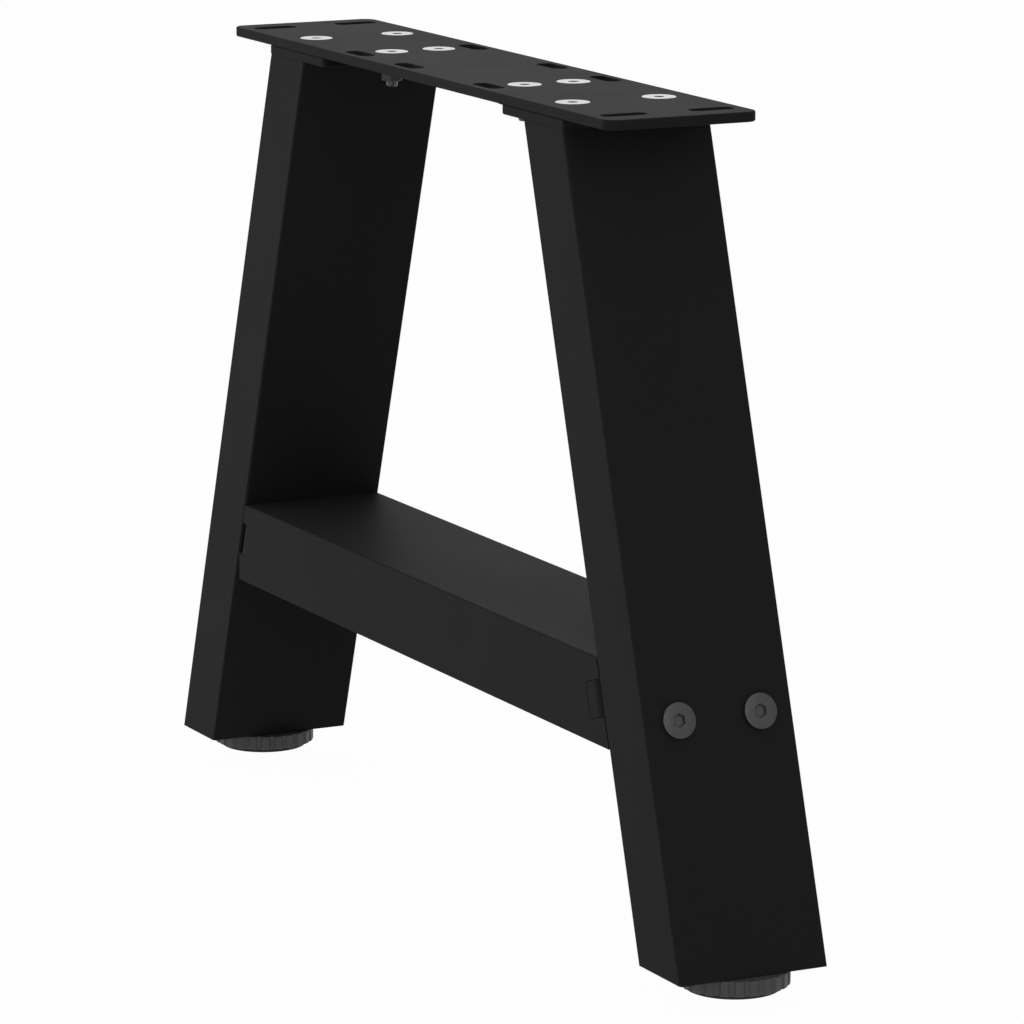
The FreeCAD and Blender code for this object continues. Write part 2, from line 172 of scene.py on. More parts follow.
def powder_coat():
    """Fine matt black polyester powder coat, sprayed and baked on steel: a soft, even black. Its melted
    grains leave a faint orange peel, and its sheen varies a little from place to place."""
    material, tree = new_material("powder_coated_steel")
    place = add_node(tree, "ShaderNodeTexCoord").outputs["Object"]
    peel = add_node(tree, "ShaderNodeTexNoise", None,
                    {"Vector": place, "Scale": 1 / (1.6 * MM), "Detail": 1.0})
    grain = add_node(tree, "ShaderNodeTexNoise", None,
                     {"Vector": place, "Scale": 1 / (0.5 * MM), "Detail": 2.0})
    drift = add_node(tree, "ShaderNodeTexNoise", None,
                     {"Vector": place, "Scale": 1 / (60 * MM), "Detail": 3.0})
    colour = add_node(tree, "ShaderNodeMix", {"data_type": "RGBA"},
                      {"Factor": drift.outputs["Fac"], 6: linear(COAT_COLOUR), 7: linear(COAT_PALE_COLOUR)})
    gloss = add_node(tree, "ShaderNodeMapRange", None,
                     {"Value": drift.outputs["Fac"], "From Min": 0.3, "From Max": 0.7,
                      "To Min": 0.55, "To Max": 0.59})
    wide = add_node(tree, "ShaderNodeBump", None,
                    {"Height": peel.outputs["Fac"], "Strength": 0.25, "Distance": 0.03 * MM})
    fine = add_node(tree, "ShaderNodeBump", None,
                    {"Height": grain.outputs["Fac"], "Strength": 0.25, "Distance": 0.02 * MM,
                     "Normal": wide.outputs["Normal"]})
    shader = add_node(tree, "ShaderNodeBsdfPrincipled", None,
                      {"Base Color": colour.outputs[2], "Roughness": gloss.outputs["Result"], "IOR": 1.5,
                       "Specular IOR Level": 0.036, "Normal": fine.outputs["Normal"]})
    add_node(tree, "ShaderNodeOutputMaterial", None, {"Surface": shader.outputs["BSDF"]})
    return material


def turning_marks(tree, spacing, depth):
    """Normals of the fine rings that a lathe leaves, read from each bolt's own frame. Real ones are
    about 0.1 mm apart, and these are coarser, so that they show."""
    own = add_node(tree, "ShaderNodeAttribute", {"attribute_name": "bolt_place"})
    flat = add_node(tree, "ShaderNodeVectorMath", {"operation": "MULTIPLY"},
                    {0: own.outputs["Vector"], 1: (1.0, 1.0, 0.0)})
    reach = add_node(tree, "ShaderNodeVectorMath", {"operation": "LENGTH"}, {0: flat.outputs[0]})
    rings = add_node(tree, "ShaderNodeMath", {"operation": "MULTIPLY"},
                     {0: reach.outputs["Value"], 1: 2 * math.pi / spacing})
    wave = add_node(tree, "ShaderNodeMath", {"operation": "SINE"}, {0: rings.outputs[0]})
    bump = add_node(tree, "ShaderNodeBump", None,
                    {"Height": wave.outputs[0], "Strength": 0.5, "Distance": depth})
    return bump.outputs["Normal"]


def zinc_plate():
    """Bright zinc plate on a turned steel head: nearly white, with fine turning rings under a satin
    that is duller in faint clouds."""
    material, tree = new_material("zinc_plated_steel")
    place = add_node(tree, "ShaderNodeTexCoord").outputs["Object"]
    clouds = add_node(tree, "ShaderNodeTexNoise", None,
                      {"Vector": place, "Scale": 1 / (4 * MM), "Detail": 3.0})
    colour = add_node(tree, "ShaderNodeMix", {"data_type": "RGBA"},
                      {"Factor": clouds.outputs["Fac"], 6: linear(ZINC_COLOUR), 7: linear(ZINC_DULL_COLOUR)})
    gloss = add_node(tree, "ShaderNodeMapRange", None,
                     {"Value": clouds.outputs["Fac"], "From Min": 0.3, "From Max": 0.7,
                      "To Min": 0.3, "To Max": 0.42})
    shader = add_node(tree, "ShaderNodeBsdfPrincipled", None,
                      {"Base Color": colour.outputs[2], "Metallic": 1.0,
                       "Roughness": gloss.outputs["Result"],
                       "Normal": turning_marks(tree, 0.5 * MM, 0.01 * MM)})
    add_node(tree, "ShaderNodeOutputMaterial", None, {"Surface": shader.outputs["BSDF"]})
    return material


def painted_shade_steel():
    """Dark grey metal in the sockets and on the threads: painted shade, a deep grey that stands for the
    shade in them and mirrors what stands round it, with faint smears in its gloss."""
    material, tree = new_material("painted_shade_dark_steel")
    place = add_node(tree, "ShaderNodeTexCoord").outputs["Object"]
    smears = add_node(tree, "ShaderNodeTexNoise", None,
                      {"Vector": place, "Scale": 1 / (2 * MM), "Detail": 3.0})
    gloss = add_node(tree, "ShaderNodeMapRange", None,
                     {"Value": smears.outputs["Fac"], "From Min": 0.3, "From Max": 0.7,
                      "To Min": 0.18, "To Max": 0.3})
    shader = add_node(tree, "ShaderNodeBsdfPrincipled", None,
                      {"Base Color": linear(SOCKET_THREAD_SHADE_COLOUR), "Metallic": 1.0,
                       "Roughness": gloss.outputs["Result"]})
    add_node(tree, "ShaderNodeOutputMaterial", None, {"Surface": shader.outputs["BSDF"]})
    return material


def phosphate_with_shade():
    """Phosphate on pressed steel nuts: a dark, slightly warm grey of fine crystals with a dull satin, drawn
    darker still as painted shade for the shadow of the plate over them.
    The crystals are drawn far coarser than the real ones, so that they show."""
    material, tree = new_material("phosphate_with_painted_shade_steel")
    place = add_node(tree, "ShaderNodeTexCoord").outputs["Object"]
    crystals = add_node(tree, "ShaderNodeTexNoise", None,
                        {"Vector": place, "Scale": 1 / (0.4 * MM), "Detail": 2.0})
    patches = add_node(tree, "ShaderNodeTexNoise", None,
                       {"Vector": place, "Scale": 1 / (3 * MM), "Detail": 3.0})
    colour = add_node(tree, "ShaderNodeMix", {"data_type": "RGBA"},
                      {"Factor": patches.outputs["Fac"], 6: linear(PHOSPHATE_SHADE_COLOUR),
                       7: linear(PHOSPHATE_SHADE_PALE_COLOUR)})
    bump = add_node(tree, "ShaderNodeBump", None,
                    {"Height": crystals.outputs["Fac"], "Strength": 0.4, "Distance": 0.02 * MM})
    shader = add_node(tree, "ShaderNodeBsdfPrincipled", None,
                      {"Base Color": colour.outputs[2], "Metallic": 1.0, "Roughness": 0.42,
                       "Normal": bump.outputs["Normal"]})
    add_node(tree, "ShaderNodeOutputMaterial", None, {"Surface": shader.outputs["BSDF"]})
    return material


def black_oxide():
    """Black oxide on turned steel, oiled: a dark satin grey with faint worn patches, whose turning
    rings still show."""
    material, tree = new_material("black_oxide_steel")
    place = add_node(tree, "ShaderNodeTexCoord").outputs["Object"]
    patches = add_node(tree, "ShaderNodeTexNoise", None,
                       {"Vector": place, "Scale": 1 / (3 * MM), "Detail": 4.0})
    colour = add_node(tree, "ShaderNodeMix", {"data_type": "RGBA"},
                      {"Factor": patches.outputs["Fac"], 6: linear(OXIDE_COLOUR),
                       7: linear(OXIDE_WORN_COLOUR)})
    gloss = add_node(tree, "ShaderNodeMapRange", None,
                     {"Value": patches.outputs["Fac"], "From Min": 0.3, "From Max": 0.7,
                      "To Min": 0.44, "To Max": 0.56})
    shader = add_node(tree, "ShaderNodeBsdfPrincipled", None,
                      {"Base Color": colour.outputs[2], "Metallic": 1.0,
                       "Roughness": gloss.outputs["Result"],
                       "Normal": turning_marks(tree, 0.6 * MM, 0.012 * MM)})
    add_node(tree, "ShaderNodeOutputMaterial", None, {"Surface": shader.outputs["BSDF"]})
    return material


def nylon():
    """Black nylon moulded in a spark-eroded tool: a dull, slightly grey black with a fine pebble, drawn
    a little coarse so that it shows, and paler clouds where the melt flowed."""
    material, tree = new_material("moulded_nylon")
    place = add_node(tree, "ShaderNodeTexCoord").outputs["Object"]
    pebble = add_node(tree, "ShaderNodeTexNoise", None,
                      {"Vector": place, "Scale": 1 / (0.6 * MM), "Detail": 1.0})
    flow = add_node(tree, "ShaderNodeTexNoise", None,
                    {"Vector": place, "Scale": 1 / (12 * MM), "Detail": 2.0})
    colour = add_node(tree, "ShaderNodeMix", {"data_type": "RGBA"},
                      {"Factor": flow.outputs["Fac"], 6: linear(NYLON_COLOUR), 7: linear(NYLON_PALE_COLOUR)})
    bump = add_node(tree, "ShaderNodeBump", None,
                    {"Height": pebble.outputs["Fac"], "Strength": 0.4, "Distance": 0.03 * MM})
    shader = add_node(tree, "ShaderNodeBsdfPrincipled", None,
                      {"Base Color": colour.outputs[2], "Roughness": 0.5, "Normal": bump.outputs["Normal"]})
    add_node(tree, "ShaderNodeOutputMaterial", None, {"Surface": shader.outputs["BSDF"]})
    return material


def rubber():
    """Moulded rubber: a flat black with no shine, a trace of dust, and a fine tooth, drawn a little
    coarse so that it shows."""
    material, tree = new_material("moulded_rubber")
    place = add_node(tree, "ShaderNodeTexCoord").outputs["Object"]
    tooth = add_node(tree, "ShaderNodeTexNoise", None,
                     {"Vector": place, "Scale": 1 / (0.5 * MM), "Detail": 2.0})
    dust = add_node(tree, "ShaderNodeTexNoise", None,
                    {"Vector": place, "Scale": 1 / (5 * MM), "Detail": 4.0})
    colour = add_node(tree, "ShaderNodeMix", {"data_type": "RGBA"},
                      {"Factor": dust.outputs["Fac"], 6: linear(RUBBER_COLOUR),
                       7: linear(RUBBER_DUST_COLOUR)})
    bump = add_node(tree, "ShaderNodeBump", None,
                    {"Height": tooth.outputs["Fac"], "Strength": 0.5, "Distance": 0.04 * MM})
    shader = add_node(tree, "ShaderNodeBsdfPrincipled", None,
                      {"Base Color": colour.outputs[2], "Roughness": 0.8, "Normal": bump.outputs["Normal"]})
    add_node(tree, "ShaderNodeOutputMaterial", None, {"Surface": shader.outputs["BSDF"]})
    return material


def show_white(tree, lit, share):
    """Surface or background that cameras, mirrors and glass see as white, with a share of the lit one."""
    path = add_node(tree, "ShaderNodeLightPath")
    mirror = add_node(tree, "ShaderNodeMath", {"operation": "MAXIMUM"},
                      {0: path.outputs["Is Camera Ray"], 1: path.outputs["Is Glossy Ray"]})
    seen = add_node(tree, "ShaderNodeMath", {"operation": "MAXIMUM"},
                    {0: mirror.outputs[0], 1: path.outputs["Is Transmission Ray"]})
    white = add_node(tree, "ShaderNodeMath", {"operation": "MULTIPLY"}, {0: seen.outputs[0], 1: 1 - share})
    kind = "ShaderNodeEmission" if lit.node.type != "BACKGROUND" else "ShaderNodeBackground"
    bright = add_node(tree, kind, None, {"Color": linear("#FFFFFF"), "Strength": 1.0})
    return add_node(tree, "ShaderNodeMixShader", None, {0: white.outputs[0], 1: lit, 2: bright.outputs[0]})


def make_world():
    """White room all round, softer as a light than it looks."""
    world = bpy.data.worlds.new("studio")
    world.use_nodes = True
    tree = world.node_tree
    tree.nodes.clear()
    lit = add_node(tree, "ShaderNodeBackground", None, {"Color": linear("#FFFFFF"), "Strength": WORLD_LEVEL})
    mixed = show_white(tree, lit.outputs[0], 0.0)
    add_node(tree, "ShaderNodeOutputWorld", None, {"Surface": mixed.outputs[0]})
    bpy.context.scene.world = world


def make_floor():
    """Wide pale floor, at the level of the feet at their lowest."""
    half = FLOOR_SIZE / 2
    mesh = bpy.data.meshes.new("floor")
    corners = [(-half, -half, -FOOT_TRAVEL), (half, -half, -FOOT_TRAVEL),
               (half, half, -FOOT_TRAVEL), (-half, half, -FOOT_TRAVEL)]
    mesh.from_pydata(corners, [], [(0, 1, 2, 3)])
    floor = bpy.data.objects.new("floor", mesh)
    bpy.context.scene.collection.objects.link(floor)
    material, tree = new_material("pale_floor_paint")
    lit = add_node(tree, "ShaderNodeBsdfDiffuse", None, {"Color": linear(FLOOR_COLOUR)})
    mixed = show_white(tree, lit.outputs[0], FLOOR_SHOW)
    add_node(tree, "ShaderNodeOutputMaterial", None, {"Surface": mixed.outputs[0]})
    mesh.materials.append(material)


def make_lights():
    """Large square soft lights, each turned to the trestle's middle."""
    for name, place, size, power in LIGHTS:
        light = bpy.data.lights.new(name, "AREA")
        light.size = size
        light.energy = power
        lamp = bpy.data.objects.new(name, light)
        lamp.location = place
        lamp.rotation_euler = (LIGHT_AIM - Vector(place)).to_track_quat("-Z", "Y").to_euler()
        bpy.context.scene.collection.objects.link(lamp)


def make_camera():
    """Long lens, from the right and a little above, turned to the middle of the trestle."""
    azimuth, elevation, roll = (math.radians(a) for a in (VIEW_AZIMUTH, VIEW_ELEVATION, VIEW_ROLL))
    right = Vector((math.cos(azimuth), math.sin(azimuth), 0))
    back = Vector((math.sin(azimuth) * math.cos(elevation), -math.cos(azimuth) * math.cos(elevation),
                   math.sin(elevation)))
    up = back.cross(right)
    camera = bpy.data.objects.new("camera", bpy.data.cameras.new("camera"))
    camera.data.lens = VIEW_LENS
    turn = Matrix((right, up, back)).transposed() @ Matrix.Rotation(roll, 3, "Z")
    camera.matrix_world = Matrix.LocRotScale(VIEW_AIM + back * VIEW_DISTANCE, turn.to_quaternion(), None)
    camera.data.clip_end = VIEW_FAR
    bpy.context.scene.collection.objects.link(camera)
    bpy.context.scene.camera = camera


def dress(nodes, parts, finishes):
    """Gives every piece the finish of its material slot, and the plate nuts their own dark one, a phosphate
    grey darkened to stand for the shade under the plate: painted shade.
    """
    nut_shade_finish = phosphate_with_shade()
    for part in parts:
        mesh = nodes[part["node"]].data
        mesh.materials.clear()
        plate_nut = "plate_nut" in part["node"]
        # the plate nuts get a darker finish as painted shade for the shadow of the plate
        mesh.materials.append(nut_shade_finish if plate_nut else finishes[part["material_slot"]])


def turned(name, rows, first_point=0.0):
    """Mesh turned about Z from its rows, each run of rows between two on the axis a closed body. The
    first corner of a hex row is at first_point, and the faces above a hex or bare row are marked for the
    second finish, which on the plate bolts is painted shade."""
    shape = bmesh.new()
    bare = shape.faces.layers.bool.new("bare")
    rings = []
    for radius, height, kind in rows:
        if radius == 0:
            rings.append([shape.verts.new((0, 0, height * MM))] * HEAD_COLUMNS)
            continue
        ring = []
        for i in range(HEAD_COLUMNS):
            turn = 360 * i / HEAD_COLUMNS
            flat = math.cos(math.radians((turn - first_point) % 60 - 30)) if kind == "hex" else 1
            reach = radius * MM / flat
            angle = math.radians(turn)
            ring.append(shape.verts.new((reach * math.cos(angle), reach * math.sin(angle), height * MM)))
        rings.append(ring)
    for upper, lower, row in zip(rings, rings[1:], rows[1:]):
        for i in range(HEAD_COLUMNS):
            j = (i + 1) % HEAD_COLUMNS
            corners = list(dict.fromkeys((upper[i], lower[i], lower[j], upper[j])))
            if len(corners) > 2:
                shape.faces.new(corners)[bare] = row[2] != "round"
    mesh = bpy.data.meshes.new(name)
    shape.to_mesh(mesh)
    shape.free()
    return bpy.data.objects.new(name, mesh)


def new_tree(name, sockets):
    """Empty Geometry Nodes tree with a geometry in and out, and its named inputs."""
    tree = bpy.data.node_groups.new(name, "GeometryNodeTree")
    tree.interface.new_socket("Geometry", in_out="INPUT", socket_type="NodeSocketGeometry")
    for label, kind in sockets.items():
        tree.interface.new_socket(label, in_out="INPUT", socket_type=kind)
    tree.interface.new_socket("Geometry", in_out="OUTPUT", socket_type="NodeSocketGeometry")
    return tree, add_node(tree, "NodeGroupInput").outputs


def thread_points(tree, given):
    """Closed threaded rod from a grid whose rows follow the helix. Its ends run out to the root. The
    sums are listed in order, each with its name, its operation and what goes in."""
    index = add_node(tree, "GeometryNodeInputIndex").outputs[0]
    sums = {"index": index, "crest": given["Crest Radius"], "pitch": given["Pitch"],
            "start": given["Start"], "length": given["Length"]}
    for name, operation, *values in (
            ("pitches", "DIVIDE", "length", "pitch"),
            ("rows", "MULTIPLY", "pitches", THREAD_ROWS),
            ("whole_rows", "CEIL", "rows"),
            ("last", "ADD", "whole_rows", THREAD_ROWS + 2),
            ("count", "ADD", "last", 1),
            ("row_share", "DIVIDE", "index", THREAD_COLUMNS + 1),
            ("row", "FLOOR", "row_share"),
            ("row_index", "MULTIPLY", "row", THREAD_COLUMNS + 1),
            ("column", "SUBTRACT", "index", "row_index"),
            ("turn", "DIVIDE", "column", THREAD_COLUMNS),
            ("inner_row", "SUBTRACT", "row", 1),
            ("row_turns", "DIVIDE", "inner_row", THREAD_ROWS),
            ("lead", "SUBTRACT", "turn", 1),
            ("turns", "ADD", "row_turns", "lead"),
            ("drop", "MULTIPLY", "turns", "pitch"),
            ("below_start", "MAXIMUM", "drop", 0),
            ("down", "MINIMUM", "below_start", "length"),
            ("wave", "PINGPONG", "row", THREAD_ROWS / 2),
            ("steep_wave", "DIVIDE", "wave", THREAD_ROWS / 2 - 1),
            ("flat_wave", "MINIMUM", "steep_wave", 1),
            ("deep", "MULTIPLY", "pitch", THREAD_DEPTH),
            ("full_rise", "MULTIPLY", "deep", "flat_wave"),
            ("left_over", "SUBTRACT", "length", "down"),
            ("run_out", "MINIMUM", "down", "left_over"),
            ("rise", "MINIMUM", "full_rise", "run_out"),
            ("root", "SUBTRACT", "crest", "deep"),
            ("radius", "ADD", "root", "rise"),
            ("end_row", "SUBTRACT", "last", 0.5),
            ("past_first", "GREATER_THAN", "row", 0.5),
            ("before_last", "LESS_THAN", "row", "end_row"),
            ("between", "MULTIPLY", "past_first", "before_last"),
            ("reach", "MULTIPLY", "radius", "between"),
            ("angle", "MULTIPLY", "turn", 2 * math.pi),
            ("cosine", "COSINE", "angle"),
            ("sine", "SINE", "angle"),
            ("x", "MULTIPLY", "reach", "cosine"),
            ("y", "MULTIPLY", "reach", "sine"),
            ("depth", "ADD", "down", "start"),
            ("z", "MULTIPLY", "depth", -1)):
        inputs = {i: sums.get(value, value) for i, value in enumerate(values)}
        sums[name] = add_node(tree, "ShaderNodeMath", {"operation": operation}, inputs).outputs[0]
    grid = add_node(tree, "GeometryNodeMeshGrid", None,
                    {"Vertices X": sums["count"], "Vertices Y": THREAD_COLUMNS + 1})
    place = add_node(tree, "ShaderNodeCombineXYZ", None, {"X": sums["x"], "Y": sums["y"], "Z": sums["z"]})
    moved = add_node(tree, "GeometryNodeSetPosition", None,
                     {"Geometry": grid.outputs["Mesh"], "Position": place.outputs[0]})
    return add_node(tree, "GeometryNodeMergeByDistance", None,
                    {"Geometry": moved.outputs[0], "Distance": MERGE_DISTANCE * MM}).outputs[0]


def bolt_tree():
    """Tree that sets a bolt at every point: its turned parts, and a thread cut on its shank. The
    thread and the socket have their own finish, which on the plate bolts is a dark grey of painted shade."""
    tree, given = new_tree("threaded_bolts", {
        "Turned Parts": "NodeSocketObject", "Crest Radius": "NodeSocketFloat", "Pitch": "NodeSocketFloat",
        "Start": "NodeSocketFloat", "Length": "NodeSocketFloat", "Finish": "NodeSocketMaterial",
        "Shade Finish": "NodeSocketMaterial"})
    thread = add_node(tree, "GeometryNodeStoreNamedAttribute", {"data_type": "BOOLEAN", "domain": "FACE"},
                      {"Geometry": thread_points(tree, given), "Name": "bare", "Value": True})
    head = add_node(tree, "GeometryNodeObjectInfo", None, {"Object": given["Turned Parts"]})
    bolt = add_node(tree, "GeometryNodeJoinGeometry", None, {"Geometry": head.outputs["Geometry"]})
    tree.links.new(thread.outputs[0], bolt.inputs[0])
    spot = add_node(tree, "GeometryNodeInputPosition")
    own = add_node(tree, "GeometryNodeStoreNamedAttribute", {"data_type": "FLOAT_VECTOR", "domain": "POINT"},
                   {"Geometry": bolt.outputs[0], "Name": "bolt_place", "Value": spot.outputs[0]})
    turn = add_node(tree, "GeometryNodeInputNamedAttribute", {"data_type": "FLOAT_VECTOR"},
                    {"Name": "turn"})
    bolts = add_node(tree, "GeometryNodeInstanceOnPoints", None,
                     {"Points": given["Geometry"], "Instance": own.outputs[0],
                      "Rotation": turn.outputs[0]})
    real = add_node(tree, "GeometryNodeRealizeInstances", None, {"Geometry": bolts.outputs[0]})
    bare = add_node(tree, "GeometryNodeInputNamedAttribute", {"data_type": "BOOLEAN"}, {"Name": "bare"})
    plated = add_node(tree, "GeometryNodeSetMaterial", None,
                      {"Geometry": real.outputs[0], "Material": given["Finish"]})
    both = add_node(tree, "GeometryNodeSetMaterial", None,
                    {"Geometry": plated.outputs[0], "Selection": bare.outputs[0],
                     "Material": given["Shade Finish"]})
    add_node(tree, "NodeGroupOutput", None, {"Geometry": both.outputs[0]})
    return tree


def weld_tree():
    """Tree that lays a rippled weld bead along every path."""
    tree, given = new_tree("weld_beads", {
        "Radius": "NodeSocketFloat", "Ripple": "NodeSocketFloat", "Finish": "NodeSocketMaterial"})
    path = add_node(tree, "GeometryNodeMeshToCurve", None, {"Mesh": given["Geometry"]})
    step = add_node(tree, "ShaderNodeMath", {"operation": "DIVIDE"}, {0: given["Ripple"], 1: BEAD_STEPS})
    points = add_node(tree, "GeometryNodeResampleCurve", {"mode": "LENGTH"},
                      {"Curve": path.outputs[0], "Length": step.outputs[0]})
    along = add_node(tree, "GeometryNodeSplineParameter").outputs["Length"]
    waves = add_node(tree, "ShaderNodeMath", {"operation": "DIVIDE"}, {0: along, 1: given["Ripple"]})
    angle = add_node(tree, "ShaderNodeMath", {"operation": "MULTIPLY"},
                     {0: waves.outputs[0], 1: 2 * math.pi})
    wave = add_node(tree, "ShaderNodeMath", {"operation": "SINE"}, {0: angle.outputs[0]})
    swell = add_node(tree, "ShaderNodeMath", {"operation": "MULTIPLY_ADD"},
                     {0: wave.outputs[0], 1: BEAD_SWELL, 2: 1.0})
    sized = add_node(tree, "GeometryNodeSetCurveRadius", None,
                     {"Curve": points.outputs[0], "Radius": swell.outputs[0]})
    ring = add_node(tree, "GeometryNodeCurvePrimitiveCircle", None,
                    {"Resolution": BEAD_SIDES, "Radius": given["Radius"]})
    bead = add_node(tree, "GeometryNodeCurveToMesh", None,
                    {"Curve": sized.outputs[0], "Profile Curve": ring.outputs[0], "Fill Caps": True})
    real = add_node(tree, "GeometryNodeRealizeInstances", None, {"Geometry": bead.outputs[0]})
    done = add_node(tree, "GeometryNodeSetMaterial", None,
                    {"Geometry": real.outputs[0], "Material": given["Finish"]})
    add_node(tree, "NodeGroupOutput", None, {"Geometry": done.outputs[0]})
    return tree


def grown(name, points, edges, turns, tree, values, body, replaced):
    """Piece that a tree makes on points and edges, as a plain mesh that rides on a body."""
    base = bpy.data.meshes.new(name + "_places")
    base.from_pydata(points, edges, [])
    if turns:
        turn = base.attributes.new("turn", "FLOAT_VECTOR", "POINT")
        turn.data.foreach_set("vector", [angle for row in turns for angle in row])
    host = bpy.data.objects.new(name + "_places", base)
    bpy.context.scene.collection.objects.link(host)
    modifier = host.modifiers.new(name, "NODES")
    modifier.node_group = tree
    for item in tree.interface.items_tree:
        if item.in_out == "INPUT" and item.name in values:
            modifier[item.identifier] = values[item.name]
    graph = bpy.context.evaluated_depsgraph_get()
    mesh = bpy.data.meshes.new_from_object(host.evaluated_get(graph), depsgraph=graph)
    host.modifiers.remove(modifier)
    bpy.data.objects.remove(host)
    mesh.name = name
    for surplus in ("bare", "turn"):
        if surplus in mesh.attributes:
            mesh.attributes.remove(mesh.attributes[surplus])
    mesh.shade_smooth()
    mesh.set_sharp_from_angle(angle=math.radians(CRISP_ANGLE))
    piece = bpy.data.objects.new(name, mesh)
    bpy.context.scene.collection.objects.link(piece)
    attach(piece, body)
    if replaced:
        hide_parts(*replaced)
    return piece


def inner_face_x(height):
    """How far the tubes' inner faces are from the trestle's middle at this height."""
    return LEG_SPREAD / 2 - (height - TUBE_BOTTOM) * math.tan(LEAN) - TUBE_LEVEL


def tighter_bend(across, up):
    """Point on the shown bend, straight out from one on the solid's. Both are measured from the middle
    of the solid's bend."""
    length = math.hypot(across, up)
    cosine, sine = across / length, up / length
    middle = BAR_BEND - SHOWN_BAR_BEND
    if max(cosine, sine) * middle >= min(cosine, sine) * BAR_BEND:
        reach = BAR_BEND / max(cosine, sine)
    else:
        along = middle * (cosine + sine)
        reach = along + math.sqrt(along ** 2 - 2 * middle ** 2 + SHOWN_BAR_BEND ** 2)
    return reach * cosine, reach * sine


def make_crossbar(nodes, finishes):
    """Folded crossbar in place of the solid one, with a crisper bend and closer ends."""
    mesh = nodes["crossbar"].data.copy()
    mesh.name = "folded_crossbar"
    shape = bmesh.new()
    shape.from_mesh(mesh)
    bmesh.ops.remove_doubles(shape, verts=shape.verts, dist=SAME_CORNER * MM)
    for corner in shape.verts:
        x, y, z = (value / MM for value in corner.co)
        if abs(abs(x) + BAR_END_GAP - inner_face_x(z)) < NEAR:
            x += math.copysign(BAR_END_GAP - SHOWN_BAR_END_GAP, x)
        across, up = abs(y) - TUBE_WIDTH / 2 + BAR_BEND, z - BAR_TOP + BAR_BEND
        if min(across, up) > 0 and abs(math.hypot(across, up) - BAR_BEND) < NEAR:
            across, up = tighter_bend(across, up)
            risen = up + BAR_TOP - BAR_BEND
            x -= math.copysign((risen - z) * math.tan(LEAN), x)
            y, z = math.copysign(across + TUBE_WIDTH / 2 - BAR_BEND, y), risen
        corner.co = Vector((x, y, z)) * MM
    shape.to_mesh(mesh)
    shape.free()
    mesh.shade_flat()
    mesh.materials.clear()
    mesh.materials.append(finishes["black_powder_coat"])
    piece = bpy.data.objects.new("folded_crossbar", mesh)
    bpy.context.scene.collection.objects.link(piece)
    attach(piece, "trestle")
    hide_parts("crossbar")


def on_leg(side, out, across, up):
    """Point given in a leg's own frame, from the outer edge of its bottom end; side is -1 or 1."""
    x = LEG_SPREAD / 2 + out * math.cos(LEAN) - up * math.sin(LEAN)
    return (side * x * MM, across * MM, (TUBE_BOTTOM + out * math.sin(LEAN) + up * math.cos(LEAN)) * MM)


def up_the_leg(height):
    """Distance along the tube of the point on its inner face at this height over the floor."""
    return (height - TUBE_BOTTOM + TUBE_THICK * math.sin(LEAN)) / math.cos(LEAN)


def bolt_inputs(parts, thread, finish, shade_finish):
    """Values for the bolt tree's named inputs."""
    crest, pitch, start, length = (value * MM for value in thread)
    return {"Turned Parts": parts, "Crest Radius": crest, "Pitch": pitch, "Start": start,
            "Length": length, "Finish": finish, "Shade Finish": shade_finish}


def make_bolts(finishes):
    """Plate bolts, crossbar bolts and foot studs with cut threads, in place of the plain ones."""
    tree = bolt_tree()
    zinc, oxide = finishes["zinc_plated_steel"], finishes["blackened_steel"]
    places = [(side * (LEG_TOP_X - inset) * MM, end * across * MM, PLATE_TOP * MM)
              for side in (-1, 1) for inset, across in PLATE_BOLT_PLACES for end in (-1, 1)]
    nodes = [f"{side}_plate_bolt_{row}_{end}" for side in ("left", "right") for row in ("outer", "inner")
             for end in ("front", "back")]
    plate_bolt = turned("plate_bolt", PLATE_HEAD + PLATE_POINT, 30)
    # the plate bolts' threads, sockets and points are drawn dark grey as painted shade
    grown("plate_bolts", places, [], [(0, 0, 0)] * 8, tree,
          bolt_inputs(plate_bolt, PLATE_THREAD, zinc, painted_shade_steel()),
          "trestle", nodes)

    up = up_the_leg(BAR_BOTTOM + BAR_BOLT_RISE)
    places = [on_leg(side, 0, end * BAR_BOLT_SIDE, up) for side in (-1, 1) for end in (-1, 1)]
    turns = [(0, side * math.radians(90 - TUBE_LEAN), 0) for side in (-1, 1) for end in (-1, 1)]
    nodes = [f"{side}_bar_bolt_{end}" for side in ("left", "right") for end in ("front", "back")]
    bar_bolt = turned("bar_bolt", BAR_HEAD)
    grown("bar_bolts", places, [], turns, tree, bolt_inputs(bar_bolt, BAR_THREAD, oxide, oxide),
          "trestle", nodes)

    foot_x = LEG_SPREAD / 2 - TUBE_LEVEL / 2
    stud = turned("foot_stud", STUD_HEAD, 30)
    for side, name in ((-1, "left"), (1, "right")):
        grown(f"{name}_threaded_stud", [(side * foot_x * MM, 0, PAD_TOP * MM)], [], [(math.pi, 0, 0)], tree,
              bolt_inputs(stud, STUD_THREAD, zinc, zinc), f"{name}_foot",
              [f"{name}_foot_stud"])
    for pattern in (plate_bolt, bar_bolt, stud):
        bpy.data.objects.remove(pattern)


def ear_path(side, end):
    """Points along one ear's edges, from the tube round the ear's end and back. The long ears are at
    the right front and the left back."""
    reach, radius = LONG_EAR if side * end < 0 else SHORT_EAR
    middle, half = up_the_leg(BAR_BOTTOM + EAR_RISE), EAR_HEIGHT / 2
    start, tip = -TUBE_THICK - EAR_BEAD_START, -TUBE_THICK - reach
    corner = radius * (1 - math.sqrt(0.5))
    line = [(start, half), (tip + radius, half), (tip + corner, half - corner), (tip, half - radius)]
    line += [(out, -up) for out, up in reversed(line)]
    return [on_leg(side, out, end * EAR_BEAD_DEPTH, middle + up) for out, up in line]


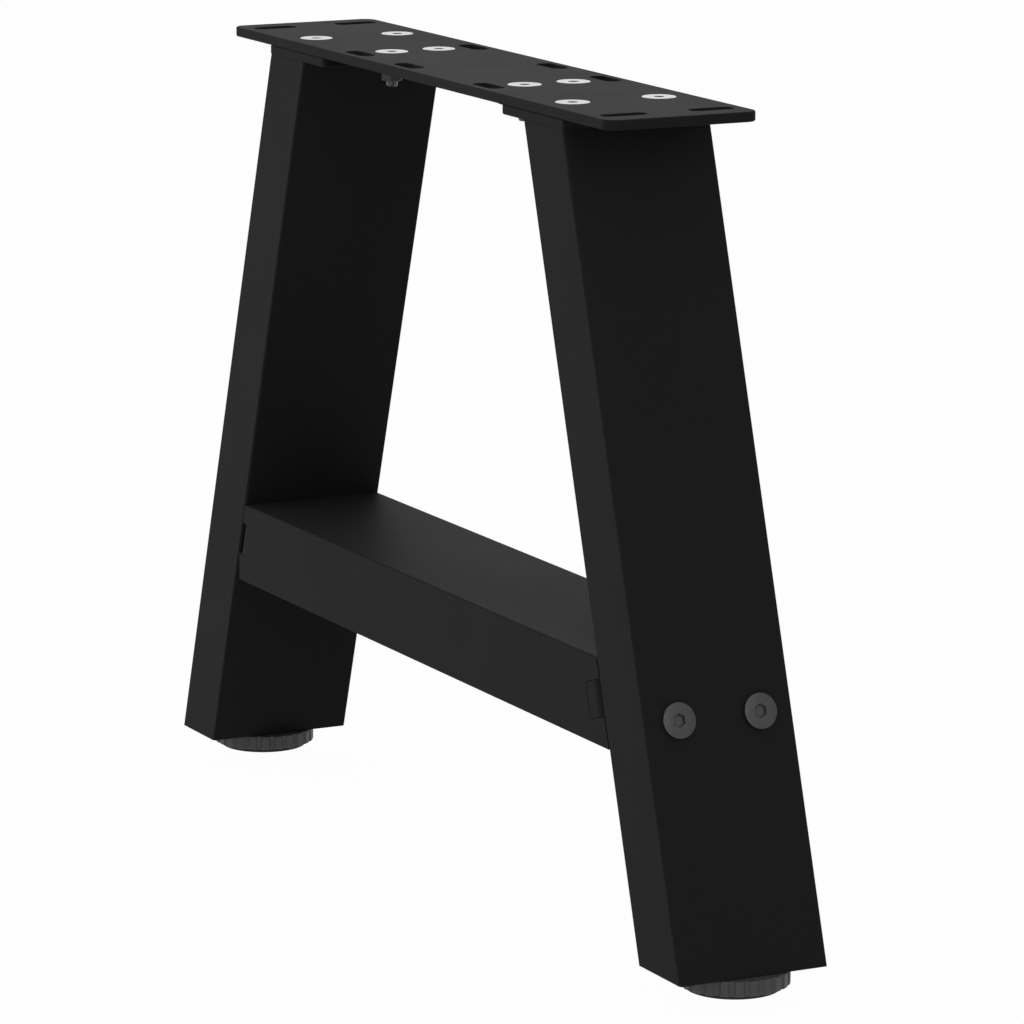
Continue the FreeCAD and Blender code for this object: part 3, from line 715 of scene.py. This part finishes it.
def head_paths(side):
    """Points along the weld under one flange's tongue, and round the other three sides of the tube's
    top."""
    inner = LEG_TOP_X - TUBE_LEVEL
    half, height = TUBE_WIDTH / 2, TUBE_BOTTOM + LEG_RISE
    x, y, z = inner - TONGUE_BEAD_SINK, half - TONGUE_BEAD_MARGIN, height - TONGUE_BEAD_SINK
    tongue = [(x, -y, z), (x, y, z)]
    x, y, z = LEG_TOP_X - SEAM_SINK, half - SEAM_SINK, height + SEAM_SINK
    turn = SEAM_CORNER
    seam = [(inner + turn, -y, z), (x - turn, -y, z), (x, -y + turn, z),
            (x, y - turn, z), (x - turn, y, z), (inner + turn, y, z)]
    return [[(side * a * MM, b * MM, c * MM) for a, b, c in line] for line in (tongue, seam)]


def make_welds(finishes):
    """Weld beads that hold the brackets' ears in the crossbar, and the flanges on the tubes."""
    sides, coat, tree = (-1, 1), finishes["black_powder_coat"], weld_tree()
    tongues, seams = zip(*(head_paths(side) for side in sides))
    ears = [ear_path(side, end) for side in sides for end in (-1, 1)]
    for name, bead, paths in (("ear_welds", EAR_BEAD, ears), ("tongue_welds", TONGUE_BEAD, tongues),
                              ("seam_welds", SEAM_BEAD, seams)):
        points = []
        edges = []
        for path in paths:
            edges += [(len(points) + i, len(points) + i + 1) for i in range(len(path) - 1)]
            points += path
        radius, ripple = (value * MM for value in bead)
        grown(name, points, edges, [], tree, {"Radius": radius, "Ripple": ripple, "Finish": coat},
              "trestle", [])


with open("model.json") as file:
    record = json.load(file)
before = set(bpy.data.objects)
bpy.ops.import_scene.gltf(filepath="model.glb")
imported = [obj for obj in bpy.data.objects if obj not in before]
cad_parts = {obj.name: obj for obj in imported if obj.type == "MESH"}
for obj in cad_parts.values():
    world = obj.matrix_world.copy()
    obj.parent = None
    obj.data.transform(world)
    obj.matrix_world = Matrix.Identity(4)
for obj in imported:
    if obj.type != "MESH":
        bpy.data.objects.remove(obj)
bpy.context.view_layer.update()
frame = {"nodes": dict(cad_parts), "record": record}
bpy.context.scene.view_settings.view_transform = "Standard"
finishes = {
    "black_powder_coat": powder_coat(),
    "zinc_plated_steel": zinc_plate(),
    "blackened_steel": black_oxide(),
    "foot_nylon": nylon(),
    "pad_rubber": rubber(),
}
dress(frame["nodes"], frame["record"]["subparts"], finishes)
make_crossbar(frame["nodes"], finishes)
make_bolts(finishes)
make_welds(finishes)
make_world()
make_floor()
make_lights()
make_camera()
